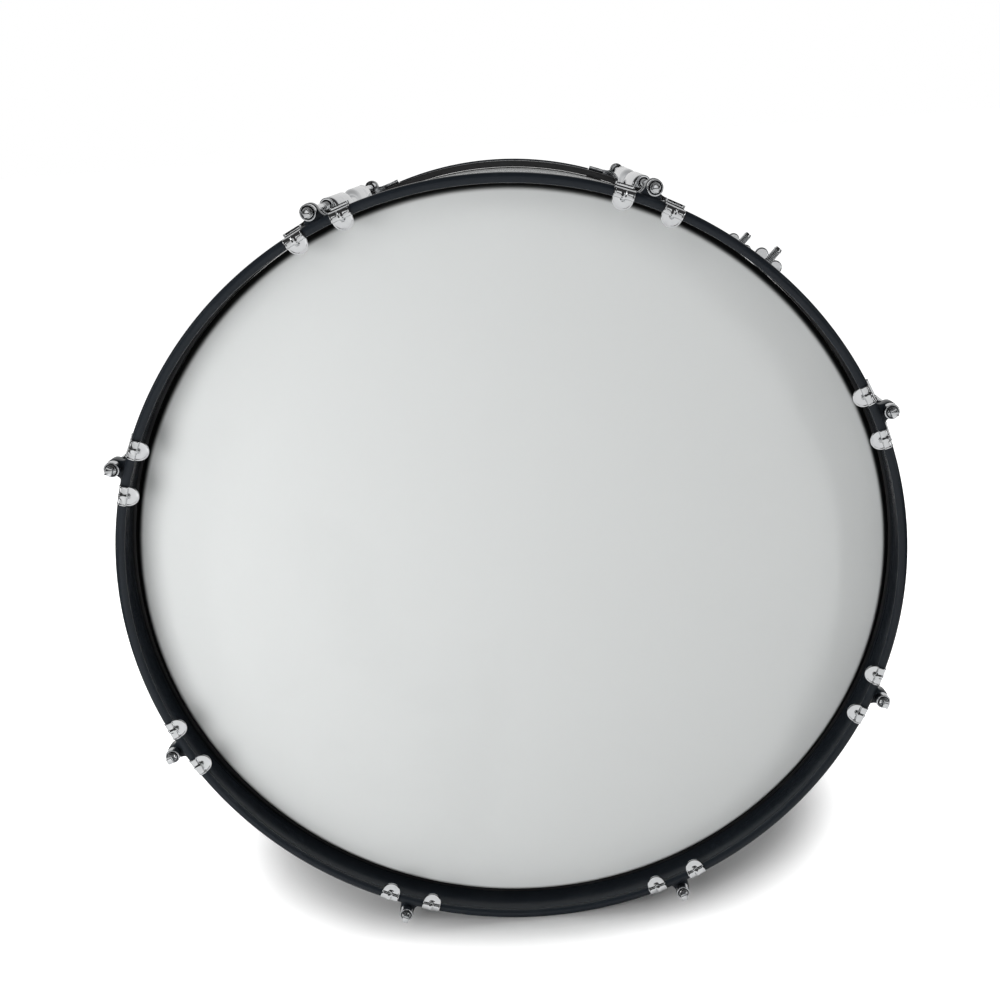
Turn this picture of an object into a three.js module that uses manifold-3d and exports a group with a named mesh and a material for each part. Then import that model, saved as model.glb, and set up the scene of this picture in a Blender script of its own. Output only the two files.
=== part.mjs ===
// A marching bass drum that stands on its two hoops, in millimetres, with +Z up.
// The drum's axis runs along Y, and the origin is on the ground under its middle.
import * as THREE from 'three';
import { mergeVertices } from 'three/addons/utils/BufferGeometryUtils.js';
import Module from 'manifold-3d';

const wasm = await Module();
wasm.setup();

// Shell
const shellDiameter = 660;
const shellDepth = 355.6;
const shellThickness = 6;
const ringSides = 64;

// Clearances and cuts
const seatGap = 0.3;
const boreGap = 0.6;
const cutOverrun = 3;
const joinOverlap = 1;

// Drum head
const filmThickness = 0.4;
const collarDepth = 13;

// Flesh hoop, the ring that the head's edge is locked into
const fleshHoopWidth = 6.4;
const fleshHoopHeight = 9;

// Counter hoop, measured from its front edge
const hoopRise = 31.5;
const hoopDepth = 38.5;
const hoopInset = 0.8;
const hoopWallThickness = 3.4;
const noseWidth = 7.9;
const noseHeight = 3.2;
const noseSteps = 3;
const flangeReach = 1.9;
const flangeThickness = 4;
const flangeSlope = 2;

// Tension stations
const stationCount = 8;
const rodOffset = 6.5;
const earRadius = 6.6;
const earHalfWidth = 11.4;
const earThickness = 10;

// Tension rod
const rodDiameter = 6;
const rodReach = 118;
const rodTipChamfer = 0.8;
const washerDiameter = 12.6;
const washerHeight = 8.4;
const washerBevel = 0.8;
const keyWidth = 5.8;
const keyHeight = 8.5;
const rodSides = 8;

// Claw
const sheetThickness = 1.6;
const clawPlateThickness = 2;
const clawPlateHeight = 4;
const clawBossRadius = 6.4;
const clipSpacing = 40.7;
const clipWidth = 16.6;
const clipNotchGap = 0.5;
const tongueReach = 8.2;
const tongueDrop = 4.6;

// Lug, one casting with a socket at each end
const lugEndOffset = 90;
const socketLength = 8;
const socketDiameter = 11;
const rodEndGap = 12;
const lugBlockLength = 87;
const lugWidth = 16.6;
const lugDomeRise = 5.8;
const neckWidth = 11;
const neckHeight = 15.5;
const lugWall = 2.3;
const lugScrewDiameter = 5;
const lugScrewHeadRadius = 6.5;
const lugScrewHeadHeight = 2.2;
const roundSides = 8;

// Carrier fittings
const carrierSpacing = 155;
const carrierBoltDiameter = 7.9;
const carrierBoltReach = 29;
const carrierHeadRadius = 9;
const carrierHeadHeight = 4.5;
const carrierWasherRadius = 14.5;
const carrierWasherHeight = 3.2;
const carrierWasherBevel = 1.4;
const nutRecessDepth = 0.9;
const backingPlateThickness = 2.5;
const backingPlateWidth = 30;
const backingPlateMargin = 22;
const wingHubRadius = 7.4;
const wingHubTopRadius = 6.4;
const wingHubHeight = 9;
const wingThickness = 3.6;
const wingLobeRadius = 6.4;
const wingLobeOffset = 8.4;
const wingLobeRise = 11.8;

// Air vent
const ventBoreRadius = 4.5;
const ventTubeRadius = 6;
const ventFlangeRadius = 9.5;
const ventFlangeHeight = 1.6;
const ventRollHeight = 1.2;

// Sizes worked out from the driving ones
const shellRadius = shellDiameter / 2;
const facetShare = Math.cos(Math.PI / ringSides);
const shellFlat = shellRadius * facetShare;
const shellInnerFlat = (shellRadius - shellThickness) * facetShare;
const edgeBevel = shellThickness / 2;
const bearingEdge = hoopRise + filmThickness + seatGap;
const overallDepth = shellDepth + 2 * bearingEdge;
const fleshHoopInner = shellRadius + filmThickness + 2 * seatGap;
const fleshHoopFront = hoopDepth + seatGap;
const wallRadius = fleshHoopInner + fleshHoopWidth - hoopInset;
const flangeRadius = wallRadius + flangeReach;
const noseMiddle = flangeRadius - noseWidth / 2;
const rodRadius = flangeRadius + rodOffset;
const earFront = noseHeight;
const earBack = earFront + earThickness;
const clawPlateFront = earBack + seatGap;
const clawPlateBack = clawPlateFront + clawPlateThickness;
const legInner = wallRadius + seatGap;
const legOuter = legInner + sheetThickness;
const clipAngle = Math.asin(clipSpacing / 2 / noseMiddle);
const washerBack = earFront - seatGap;
const washerFront = washerBack - washerHeight;
const rodBore = (rodDiameter + boreGap) / 2 / Math.cos(Math.PI / roundSides);
const carrierBore = (carrierBoltDiameter + boreGap) / 2 / Math.cos(Math.PI / roundSides);
const lugBase = shellFlat + seatGap;
const lugDomeRadius = lugWidth / 2;
const lugHalfLength = overallDepth / 2 - lugEndOffset;
const socketBoreDepth = rodReach - lugEndOffset + rodEndGap;
const lugBlockStart = lugHalfLength - socketLength - lugBlockLength;
const lugScrewPlace = lugBlockStart + lugBlockLength / 2;
const lugPocketTop = rodRadius - rodBore - lugWall;
const standHeight = flangeRadius * facetShare;
const stationAngles = Array.from({ length: stationCount },
  (unused, i) => ((i + 0.5) / stationCount) * 2 * Math.PI);
const carrierAngle = Math.PI / 4;
const ventAngle = -Math.PI / 2;

// Materials
const paint = (name, color, roughness, metalness) =>
  new THREE.MeshStandardMaterial({ name, color, roughness, metalness });
const whiteWrap = paint('white_wrap', 0xe9ebeb, 0.25, 0);
const headFilm = paint('head_film', 0xe3e6e5, 0.35, 0);
const blackHoop = paint('black_hoop', 0x17191c, 0.35, 0.2);
const blackRing = paint('black_ring', 0x1d1f21, 0.5, 0.3);
const chrome = paint('chrome', 0xc9cccf, 0.12, 1);
const zincSteel = paint('zinc_steel', 0xa9abad, 0.35, 1);

// Solids: closed geometry to a solid and back, with the joins and cuts between
function solidOf(geometry) {
  const bare = geometry.clone();
  bare.deleteAttribute('normal');
  bare.deleteAttribute('uv');
  const welded = mergeVertices(bare);
  const vertProperties = new Float32Array(welded.attributes.position.array);
  const triVerts = new Uint32Array(welded.index.array);
  return new wasm.Manifold(new wasm.Mesh({ numProp: 3, vertProperties, triVerts }));
}

function geometryOf(solid) {
  const mesh = solid.getMesh();
  const geometry = new THREE.BufferGeometry();
  geometry.setAttribute('position', new THREE.BufferAttribute(mesh.vertProperties, mesh.numProp));
  geometry.setIndex(new THREE.BufferAttribute(mesh.triVerts, 1));
  geometry.computeVertexNormals();
  return geometry;
}

const combine = (how, first, others) =>
  geometryOf(others.reduce((solid, other) => solid[how](solidOf(other)), solidOf(first)));
const join = (first, ...others) => combine('add', first, others);
const cut = (first, ...others) => combine('subtract', first, others);
const overlapOf = (first, ...others) => combine('intersect', first, others);

// Base forms. A ring or a turned piece goes round Y, from points of radius and depth.
function turned(points, sides) {
  const outline = points.map(([radius, depth]) => new THREE.Vector2(radius, depth));
  return new THREE.LatheGeometry(outline, sides, Math.PI / sides);
}

const ring = (points) => turned([...points, points[0]], ringSides);

// A plate has its outline across the drum's axis, and its thickness along it.
function plate(shape, front, thickness, curveSegments = 2) {
  const options = { depth: thickness, bevelEnabled: false, curveSegments };
  const geometry = new THREE.ExtrudeGeometry(shape, options);
  return geometry.rotateX(Math.PI / 2).translate(0, front + thickness, 0);
}

// A strip has its outline in radius and depth, and its width along the hoop.
function strip(points, width) {
  const shape = new THREE.Shape(points.map(([radius, depth]) => new THREE.Vector2(radius, depth)));
  const geometry = new THREE.ExtrudeGeometry(shape, { depth: width, bevelEnabled: false });
  return geometry.rotateY(-Math.PI / 2).translate(width / 2, 0, 0);
}

const block = (width, depth, height, front, base) =>
  new THREE.BoxGeometry(width, depth, height).translate(0, front + depth / 2, base + height / 2);

// A round bar along Y, at a radius from the drum's axis, and one that points away from the axis.
const barAlong = (radius, front, length, height) =>
  turned([[0, front], [radius, front], [radius, front + length], [0, front + length]], roundSides)
    .translate(0, 0, height);
const barOutward = (radius, base, length) =>
  turned([[0, base], [radius, base], [radius, base + length], [0, base + length]], roundSides)
    .rotateX(Math.PI / 2);

function shellGeometry() {
  const inner = shellRadius - shellThickness;
  const apex = shellRadius - edgeBevel;
  const front = bearingEdge;
  const back = bearingEdge + shellDepth;
  const tube = ring([
    [apex, front],
    [shellRadius, front + edgeBevel],
    [shellRadius, back - edgeBevel],
    [apex, back],
    [inner, back - edgeBevel],
    [inner, front + edgeBevel],
  ]).translate(0, -overallDepth / 2, 0);
  const holeBase = shellInnerFlat - cutOverrun;
  const holeLength = shellThickness + 2 * cutOverrun;
  const carrierHole = (side) => barOutward(carrierBore, holeBase, holeLength)
    .translate(0, side * carrierSpacing / 2, 0).rotateY(carrierAngle);
  const ventHole = barOutward(ventTubeRadius + boreGap, holeBase, holeLength).rotateY(ventAngle);
  const lugHole = (side, angle) => barOutward(lugScrewDiameter / 2 + boreGap, holeBase, holeLength)
    .translate(0, side * lugScrewPlace, 0).rotateY(angle);
  const lugHoles = stationAngles.flatMap((angle) => [lugHole(-1, angle), lugHole(1, angle)]);
  return cut(tube, carrierHole(-1), carrierHole(1), ventHole, ...lugHoles);
}

// The film lies over the bearing edge and runs down the shell, offset from it by a gap.
function headGeometry() {
  const shoulder = (offset) => {
    const slide = offset * (Math.SQRT2 - 1);
    return [
      [shellRadius - edgeBevel + slide, bearingEdge - offset],
      [shellRadius + offset, bearingEdge + edgeBevel - slide],
    ];
  };
  const under = shoulder(seatGap);
  const over = shoulder(seatGap + filmThickness);
  const collarEnd = bearingEdge + collarDepth;
  return turned([
    [0, bearingEdge - seatGap - filmThickness],
    ...over,
    [shellRadius + seatGap + filmThickness, collarEnd],
    [shellRadius + seatGap, collarEnd],
    ...under.reverse(),
    [0, bearingEdge - seatGap],
  ], ringSides);
}

function fleshHoopGeometry() {
  const outer = fleshHoopInner + fleshHoopWidth;
  const back = fleshHoopFront + fleshHoopHeight;
  return ring([
    [outer, fleshHoopFront],
    [outer, back],
    [fleshHoopInner, back],
    [fleshHoopInner, fleshHoopFront],
  ]);
}

// An ear carries a tension rod: a round lobe that runs into the flange on both sides.
function earGeometry() {
  const root = wallRadius - joinOverlap;
  const rim = flangeRadius * facetShare;
  const shape = new THREE.Shape();
  shape.moveTo(-earHalfWidth, root);
  shape.lineTo(-earHalfWidth, rim);
  shape.quadraticCurveTo(-earRadius, rim, -earRadius, rodRadius);
  shape.absarc(0, rodRadius, earRadius, Math.PI, 0, true);
  shape.quadraticCurveTo(earRadius, rim, earHalfWidth, rim);
  shape.lineTo(earHalfWidth, root);
  return plate(shape, earFront, earThickness);
}

// The nose is a half ellipse, so a point on it follows from an angle round it.
function nosePoint(angle) {
  return [noseMiddle + (noseWidth / 2) * Math.cos(angle), noseHeight * (1 - Math.sin(angle))];
}

function hoopGeometry() {
  const nose = Array.from({ length: noseSteps + 1 }, (unused, i) => nosePoint((i / noseSteps) * Math.PI));
  const flangeBack = noseHeight + flangeThickness;
  const wall = ring([
    ...nose.reverse(),
    [flangeRadius, flangeBack],
    [wallRadius, flangeBack + flangeSlope],
    [wallRadius, hoopDepth],
    [wallRadius - hoopWallThickness, hoopDepth],
  ]);
  const notchDepth = flangeBack + flangeSlope + cutOverrun;
  const notch = (side) => block(clipWidth + 2 * clipNotchGap, notchDepth, rodOffset, -cutOverrun, wallRadius)
    .rotateY(side * clipAngle);
  const rodHole = barAlong(rodBore, earFront - cutOverrun, earThickness + 2 * cutOverrun, rodRadius);
  const ears = stationAngles.map((angle) => earGeometry().rotateY(angle));
  const cuts = stationAngles.flatMap((angle) => [
    notch(-1).rotateY(angle),
    notch(1).rotateY(angle),
    rodHole.clone().rotateY(angle),
  ]);
  return cut(join(wall, ...ears), ...cuts);
}

// One clip of the claw: a leg along the hoop's outside, a bend over its nose and a half-moon tongue.
function clipGeometry() {
  const bendFront = -seatGap;
  const outerFront = bendFront - sheetThickness;
  const tongueRoot = noseMiddle - noseWidth / 4;
  const tip = tongueRoot - tongueReach;
  const foot = legInner + clawPlateHeight;
  const outline = [
    [foot, clawPlateFront],
    [foot, clawPlateBack],
    [legInner, clawPlateBack],
    [legInner, noseHeight / 2],
    [noseMiddle + noseWidth / 4, bendFront],
    [tongueRoot, bendFront],
    [tip, bendFront + tongueDrop],
    [tip, outerFront + tongueDrop],
    [tongueRoot, outerFront],
    [noseMiddle + noseWidth / 4 + sheetThickness / 2, outerFront],
    [legOuter, noseHeight / 2 - sheetThickness],
    [legOuter, clawPlateFront],
  ];
  const half = clipWidth / 2;
  const moonCentre = tip + half;
  const moon = new THREE.Shape();
  moon.moveTo(half, rodRadius);
  moon.lineTo(-half, rodRadius);
  moon.lineTo(-half, moonCentre);
  moon.absarc(0, moonCentre, half, Math.PI, 2 * Math.PI, false);
  moon.lineTo(half, rodRadius);
  const moonPlate = plate(moon, outerFront - cutOverrun, clawPlateBack - outerFront + 2 * cutOverrun);
  return overlapOf(strip(outline, clipWidth), moonPlate);
}

function clawGeometry() {
  const half = clipSpacing / 2 - clipWidth / 2 + joinOverlap;
  const top = legInner + clawPlateHeight;
  const shape = new THREE.Shape();
  shape.moveTo(-half, legInner);
  shape.lineTo(-half, top);
  shape.quadraticCurveTo(-clawBossRadius, top, -clawBossRadius, rodRadius);
  shape.absarc(0, rodRadius, clawBossRadius, Math.PI, 0, true);
  shape.quadraticCurveTo(clawBossRadius, top, half, top);
  shape.lineTo(half, legInner);
  const bridge = plate(shape, clawPlateFront, clawPlateThickness);
  const clip = (side) => clipGeometry().rotateY(side * clipAngle);
  const hole = barAlong(rodBore, clawPlateFront - cutOverrun, clawPlateThickness + 2 * cutOverrun, rodRadius);
  return cut(join(bridge, clip(-1), clip(1)), hole);
}

// A tension rod with its captive cup washer and the square that the drum key turns.
function rodGeometry() {
  const radius = rodDiameter / 2;
  const washer = washerDiameter / 2;
  const stem = turned([
    [0, washerFront],
    [washer - washerBevel, washerFront],
    [washer, washerFront + washerBevel],
    [washer, washerBack],
    [radius, washerBack],
    [radius, rodReach - rodTipChamfer],
    [radius - rodTipChamfer, rodReach],
    [0, rodReach],
  ], rodSides);
  const key = block(keyWidth, keyHeight + joinOverlap, keyWidth, washerFront - keyHeight, -keyWidth / 2);
  return join(stem, key).translate(0, 0, rodRadius);
}

// A lug screw holds the casting from inside the shell, with its head against the inner wall.
function lugScrewGeometry() {
  const headTop = shellInnerFlat - seatGap;
  const base = headTop - lugScrewHeadHeight;
  const top = lugPocketTop + lugWall / 2;
  return turned([
    [0, base],
    [lugScrewHeadRadius, base],
    [lugScrewHeadRadius, headTop],
    [lugScrewDiameter / 2, headTop],
    [lugScrewDiameter / 2, top],
    [0, top],
  ], roundSides).rotateX(Math.PI / 2);
}

// The lug is drawn about the middle of the drum's depth, so both ends come out alike.
function lugGeometry() {
  const domeCentre = rodRadius + lugDomeRise - lugDomeRadius;
  const outline = new THREE.Shape();
  outline.moveTo(-lugDomeRadius, lugBase);
  outline.lineTo(-lugDomeRadius, domeCentre);
  outline.absarc(0, domeCentre, lugDomeRadius, Math.PI, 0, true);
  outline.lineTo(lugDomeRadius, lugBase);
  const neckLength = 2 * (lugBlockStart + joinOverlap);
  const neck = block(neckWidth, neckLength, neckHeight, -neckLength / 2, lugBase);
  const pocketWidth = lugWidth - 2 * lugWall;
  const pocketLength = lugBlockLength - 2 * lugWall;
  const pocketHeight = lugPocketTop - lugBase + cutOverrun;
  const pocketStart = lugBlockStart + lugWall;
  const socketBar = socketLength + joinOverlap;
  const socketStart = lugHalfLength - socketBar;
  const end = join(
    plate(outline, lugBlockStart, lugBlockLength),
    barAlong(socketDiameter / 2, socketStart, socketBar, rodRadius),
  );
  const hollowEnd = cut(
    end,
    block(pocketWidth, pocketLength, pocketHeight, pocketStart, lugBase - cutOverrun),
    barAlong(rodBore, lugHalfLength - socketBoreDepth, socketBoreDepth + cutOverrun, rodRadius),
  );
  const rearEnd = join(hollowEnd, lugScrewGeometry().translate(0, lugScrewPlace, 0));
  return join(neck, rearEnd, rearEnd.clone().rotateZ(Math.PI));
}

// Carrier fittings are drawn pointing up, with the height as the distance from the drum's axis.
const carrierWasherBase = shellFlat + seatGap;
const wingNutBase = carrierWasherBase + carrierWasherHeight - nutRecessDepth + seatGap;
const backingPlateTop = shellInnerFlat - seatGap;
const carrierHeadTop = backingPlateTop - backingPlateThickness - seatGap;

function carrierBoltGeometry() {
  const radius = carrierBoltDiameter / 2;
  const base = carrierHeadTop - carrierHeadHeight;
  const top = shellFlat + carrierBoltReach;
  return turned([
    [0, base],
    [carrierHeadRadius, base],
    [carrierHeadRadius, carrierHeadTop],
    [radius, carrierHeadTop],
    [radius, top - rodTipChamfer],
    [radius - rodTipChamfer, top],
    [0, top],
  ], roundSides).rotateX(Math.PI / 2);
}

// The washer's raised rim is the seat for a carrier's tab, and the wing nut's foot sits in its recess.
function carrierWasherGeometry() {
  const top = carrierWasherBase + carrierWasherHeight;
  const recessRadius = wingHubRadius + boreGap;
  const disc = turned([
    [0, carrierWasherBase],
    [carrierWasherRadius, carrierWasherBase],
    [carrierWasherRadius, top - carrierWasherBevel],
    [carrierWasherRadius - carrierWasherBevel, top],
    [recessRadius, top],
    [recessRadius, top - nutRecessDepth],
    [0, top - nutRecessDepth],
  ], 2 * roundSides).rotateX(Math.PI / 2);
  const hole = barOutward(carrierBore, carrierWasherBase - cutOverrun, carrierWasherHeight + 2 * cutOverrun);
  return cut(disc, hole);
}

function wingNutGeometry() {
  const hubTop = wingNutBase + wingHubHeight;
  const hub = turned([
    [0, wingNutBase],
    [wingHubRadius, wingNutBase],
    [wingHubTopRadius, hubTop],
    [0, hubTop],
  ], roundSides).rotateX(Math.PI / 2);
  const lobeHeight = wingNutBase + wingLobeRise;
  const wing = new THREE.Shape();
  wing.moveTo(0, wingNutBase + joinOverlap);
  wing.lineTo(wingHubRadius, wingNutBase + joinOverlap);
  wing.lineTo(wingLobeOffset + wingLobeRadius, lobeHeight);
  wing.absarc(wingLobeOffset, lobeHeight, wingLobeRadius, 0, Math.PI, false);
  wing.lineTo(0, hubTop - joinOverlap);
  const right = plate(wing, -wingThickness / 2, wingThickness);
  const left = right.clone().rotateZ(Math.PI);
  const hole = barOutward(carrierBore, wingNutBase - cutOverrun, wingHubHeight + wingLobeRise);
  return cut(join(hub, right, left), hole);
}

function backingPlateGeometry() {
  const length = carrierSpacing + 2 * backingPlateMargin;
  const base = backingPlateTop - backingPlateThickness;
  const sheet = block(backingPlateWidth, length, backingPlateThickness, -length / 2, base);
  const hole = (side) => barOutward(carrierBore, base - cutOverrun, backingPlateThickness + 2 * cutOverrun)
    .translate(0, side * carrierSpacing / 2, 0);
  return cut(sheet, hole(-1), hole(1));
}

// The vent is a turned eyelet through the shell, flanged outside and rolled over inside.
function ventGeometry() {
  const outside = shellFlat + seatGap;
  const inside = shellInnerFlat - seatGap;
  return turned([
    [ventTubeRadius, inside],
    [ventTubeRadius, outside],
    [ventFlangeRadius, outside],
    [ventFlangeRadius, outside + ventFlangeHeight],
    [ventBoreRadius, outside + ventFlangeHeight],
    [ventBoreRadius, inside - ventRollHeight],
    [ventFlangeRadius, inside - ventRollHeight],
    [ventFlangeRadius, inside],
    [ventTubeRadius, inside],
  ], roundSides).rotateX(Math.PI / 2);
}

function piece(name, geometry, material) {
  const mesh = new THREE.Mesh(geometry, material);
  mesh.name = name;
  return mesh;
}

// One end of the drum: head, flesh hoop, counter hoop, and at each station a claw and a rod.
function endAssembly(end, turn) {
  const group = new THREE.Group();
  group.add(piece(`${end}_head`, headGeometry(), headFilm));
  group.add(piece(`${end}_flesh_hoop`, fleshHoopGeometry(), blackRing));
  group.add(piece(`${end}_hoop`, hoopGeometry(), blackHoop));
  const claw = clawGeometry();
  const rod = rodGeometry();
  const side = turn === 0 ? 1 : -1;
  stationAngles.forEach((angle, i) => {
    const station = new THREE.Group();
    station.add(piece(`${end}_claw_${i + 1}`, claw, chrome));
    station.add(piece(`${end}_tension_rod_${i + 1}`, rod, chrome));
    station.rotation.y = side * angle;
    group.add(station);
  });
  group.rotation.z = turn;
  group.position.y = (-side * overallDepth) / 2;
  return group;
}

function lugs() {
  const geometry = lugGeometry();
  return stationAngles.map((angle, i) => {
    const lug = piece(`lug_${i + 1}`, geometry, chrome);
    lug.rotation.y = angle;
    return lug;
  });
}

function carrierFittings() {
  const group = new THREE.Group();
  group.add(piece('carrier_backing_plate', backingPlateGeometry(), zincSteel));
  for (const [end, side] of [['front', -1], ['rear', 1]]) {
    const fitting = new THREE.Group();
    fitting.add(piece(`${end}_carrier_bolt`, carrierBoltGeometry(), chrome));
    fitting.add(piece(`${end}_carrier_washer`, carrierWasherGeometry(), chrome));
    fitting.add(piece(`${end}_wing_nut`, wingNutGeometry(), chrome));
    fitting.position.y = side * carrierSpacing / 2;
    group.add(fitting);
  }
  group.rotation.y = carrierAngle;
  return group;
}

function airVent() {
  const vent = piece('air_vent', ventGeometry(), chrome);
  vent.rotation.y = ventAngle;
  return vent;
}

const drum = new THREE.Group();
drum.add(piece('shell', shellGeometry(), whiteWrap));
drum.add(endAssembly('front', 0));
drum.add(endAssembly('rear', Math.PI));
drum.add(...lugs());
drum.add(carrierFittings());
drum.add(airVent());
drum.position.z = standHeight;

export default drum;
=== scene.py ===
# %% [markdown]
# # A marching bass drum, dressed for its portrait
#
# The construction of the drum is already settled: where each hoop, claw, rod and lug sits, how large it is
# and how it moves. This notebook loads that frame and gives every piece its finished surface: true circles,
# rolled edges, pressed sheet metal, chrome, black paint and drumhead film. All sizes are in metres.

# %% Load the frame
from math import asin, cos, exp, pi, radians, sin, sqrt, tan
import bmesh
import bpy
from mathutils import Matrix, Vector


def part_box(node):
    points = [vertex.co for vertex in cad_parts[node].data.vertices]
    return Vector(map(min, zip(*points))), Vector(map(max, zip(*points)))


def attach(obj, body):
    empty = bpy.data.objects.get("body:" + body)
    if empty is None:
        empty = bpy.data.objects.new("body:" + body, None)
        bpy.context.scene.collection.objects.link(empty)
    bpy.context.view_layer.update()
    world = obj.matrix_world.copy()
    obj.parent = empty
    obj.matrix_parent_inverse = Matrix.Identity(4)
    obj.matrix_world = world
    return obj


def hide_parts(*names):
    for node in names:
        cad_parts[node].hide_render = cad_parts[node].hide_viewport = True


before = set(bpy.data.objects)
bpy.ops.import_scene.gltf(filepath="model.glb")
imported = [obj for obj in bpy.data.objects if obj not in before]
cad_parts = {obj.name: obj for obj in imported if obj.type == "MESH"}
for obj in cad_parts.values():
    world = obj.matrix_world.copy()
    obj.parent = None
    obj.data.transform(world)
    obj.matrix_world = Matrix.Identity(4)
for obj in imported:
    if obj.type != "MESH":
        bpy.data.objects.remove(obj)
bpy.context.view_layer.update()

# %% [markdown]
# The whole drum is round about one axis, so nearly every place is a radius, a depth behind the front hoop's
# face and an angle round the axis. The frame tells where the axis and the two faces are, and the pieces
# repeat at eight stations.

# %% Find the axis and the faces
hoop_low, hoop_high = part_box("front_hoop")
front_face = hoop_low.y
rear_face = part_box("rear_hoop")[1].y
axis_height = (hoop_low.z + hoop_high.z) / 2
flange_radius = (hoop_high.z - hoop_low.z) / 2
overall_depth = rear_face - front_face
ends = ("front", "rear")
station_count = 8
station_angles = [(i + 0.5) / station_count * 2 * pi for i in range(station_count)]
print(f"axis {axis_height:.4f} above the floor, {overall_depth:.4f} over the hoops")

# %% [markdown]
# ## The camera
#
# The photograph was matched with known places of the drum: the outer edges of both hoops, the washers and the
# clips. That gives the lens, a view from just above the drum, and a picture cropped so that the lens axis
# isn't in its middle, which the two shifts repeat. The drum in the photograph has rolled a few degrees on its
# hoops, so the camera is turned about the drum's axis by the same angle.

# %% Place the camera
focal_length = 0.04356
sensor_width = 0.036
picture_shift = (-0.0757, 0.1009)
camera_reach = Vector((0.0115, -0.9717, 0.3700))
camera_yaw = radians(2.293)
camera_tilt = radians(21.402)
drum_roll = radians(3.784)


def linked(name, data):
    """A new object of this data, in the scene."""
    made = bpy.data.objects.new(name, data)
    bpy.context.scene.collection.objects.link(made)
    return made


camera_data = bpy.data.cameras.new("camera")
camera_data.lens = focal_length * 1000
camera_data.sensor_width = sensor_width * 1000
camera_data.shift_x, camera_data.shift_y = picture_shift
camera = linked("camera", camera_data)
level = Matrix.Rotation(-camera_yaw, 4, "Z") @ Matrix.Rotation(pi / 2 - camera_tilt, 4, "X")
placed = Matrix.Translation(camera_reach) @ level
face_centre = Matrix.Translation((0, front_face, axis_height))
camera.matrix_world = face_centre @ Matrix.Rotation(drum_roll, 4, "Y") @ placed
bpy.context.scene.camera = camera
print("camera at", [round(v, 3) for v in camera.matrix_world.translation])

# %% [markdown]
# ## Tools for the bench
#
# A few small helpers make most of the drum. `rounded` turns the corners of an outline into short bends,
# because no edge on a real product is sharp and a rounded edge is what catches the light.

# %% Outlines with rounded corners
longest_share = 0.49


def bend(start, knee, end, steps):
    """Points of the curve that leaves start towards the knee and arrives at end."""
    shares = [k / steps for k in range(steps + 1)]
    return [(1 - t) ** 2 * start + 2 * t * (1 - t) * knee + t ** 2 * end for t in shares]


def rounded(corners, closed=True, steps=5):
    """Corners are (a, b, radius). A radius of 0 keeps the corner sharp."""
    points = []
    last = len(corners) - 1
    for i, (a, b, radius) in enumerate(corners):
        here = Vector((a, b))
        if radius == 0 or (not closed and i in (0, last)):
            points.append(here)
            continue
        before = Vector(corners[i - 1][:2]) - here
        after = Vector(corners[(i + 1) % (last + 1)][:2]) - here
        reach = radius / tan(before.angle(after) / 2)
        start = here + before.normalized() * min(reach, before.length * longest_share)
        end = here + after.normalized() * min(reach, after.length * longest_share)
        points += bend(start, here, end, steps)
    return points


def round_angles(steps):
    return [k / steps * 2 * pi for k in range(steps)]


def arch_angles(steps):
    return [k / steps * pi for k in range(steps + 1)]


def circle(radius, steps, centre_height=0.0):
    return [(radius * sin(t), centre_height + radius * cos(t)) for t in round_angles(steps)]

# %% [markdown]
# `turned` spins an outline round the drum's axis, as a lathe does. Blender's Screw modifier could do it too,
# but a loop over angles also lets the outline change on its way round, which the hoops will need.

# %% Turned pieces
def mesh_from(name, vertices, faces, weld=True):
    mesh = bpy.data.meshes.new(name)
    mesh.from_pydata(vertices, [], faces)
    work = bmesh.new()
    work.from_mesh(mesh)
    if weld:
        bmesh.ops.remove_doubles(work, verts=work.verts, dist=1e-7)
    bmesh.ops.recalc_face_normals(work, faces=work.faces)
    work.to_mesh(mesh)
    work.free()
    return mesh


def turned(name, outline, steps=96, closed=True, angles=None, reshape=None):
    """Spins (radius, depth) points round the Y axis. reshape may change a radius at an angle."""
    angles = angles or round_angles(steps)
    vertices = []
    for angle in angles:
        for radius, depth in outline:
            size = reshape(angle, radius) if reshape else radius
            vertices.append((size * sin(angle), depth, size * cos(angle)))
    count = len(outline)
    rows = count if closed else count - 1
    faces = []
    for k in range(len(angles)):
        ahead = (k + 1) % len(angles)
        for j in range(rows):
            beside = (j + 1) % count
            faces.append((k * count + j, ahead * count + j, ahead * count + beside, k * count + beside))
    return mesh_from(name, vertices, faces)


def shaded(mesh, crease=32):
    """Smooth faces, with an edge kept crisp where the surface turns by more than the crease angle."""
    mesh.shade_smooth()
    mesh.set_sharp_from_angle(angle=radians(crease))
    return mesh

# %% [markdown]
# Flat pieces are cut out of sheet. A filled curve with a bevel gives a plate with its holes and soft edges.
# Booleans join and cut the other pieces, and the empty faces that they leave are taken out.

# %% Plates, modifiers that are baked in, and merged meshes
in_place = Matrix.Identity(4)
upright = Matrix.Rotation(pi / 2, 4, "X")
half_turn = Matrix.Rotation(pi, 4, "Z")
square = ((-1, -1), (1, -1), (1, 1), (-1, 1))


def evaluated(holder):
    """The mesh that an object comes to with its modifiers. The object itself is thrown away."""
    graph = bpy.context.evaluated_depsgraph_get()
    mesh = bpy.data.meshes.new_from_object(holder.evaluated_get(graph))
    bpy.data.objects.remove(holder)
    return mesh


def cleaned(mesh):
    work = bmesh.new()
    work.from_mesh(mesh)
    bmesh.ops.dissolve_degenerate(work, edges=work.edges, dist=1e-6)
    work.to_mesh(mesh)
    work.free()
    return mesh


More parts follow.
